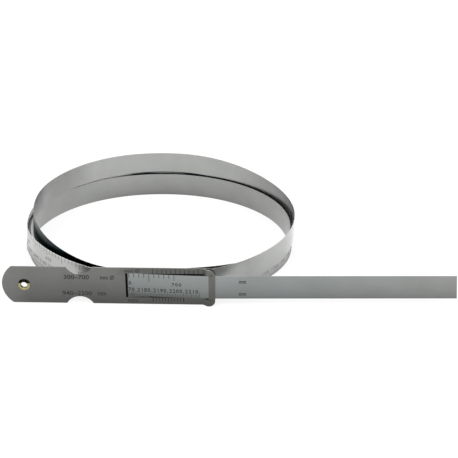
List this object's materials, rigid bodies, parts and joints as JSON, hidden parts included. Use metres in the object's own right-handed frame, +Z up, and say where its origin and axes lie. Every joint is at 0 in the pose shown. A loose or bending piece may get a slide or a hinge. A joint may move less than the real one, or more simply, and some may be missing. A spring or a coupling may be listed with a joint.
{
  "type": "circumference tape measure",
  "caption": "Coiled steel tape that reads circumference and diameter through a windowed head plate with a bridge and a hanging eyelet.",
  "frame": {"origin": "middle of the bounding box at the level the lower edges rest on", "axes": "+X from the head's bowed end towards the band's free end, +Y away from the reader across the coil, +Z up"},
  "size_m": [0.284, 0.169, 0.0333],
  "materials": {
    "band_steel": "satin",
    "head_steel": "satin",
    "rivet_steel": "satin",
    "eyelet_brass": "satin"
  },
  "bodies": {
    "root": {"measuring_tape": "band_steel", "head_plate": "head_steel", "backing_plate": "head_steel", "bridge_rivet_lower": "rivet_steel", "bridge_rivet_upper": "rivet_steel", "hanging_eyelet": "eyelet_brass"}
  },
  "joints": []
}
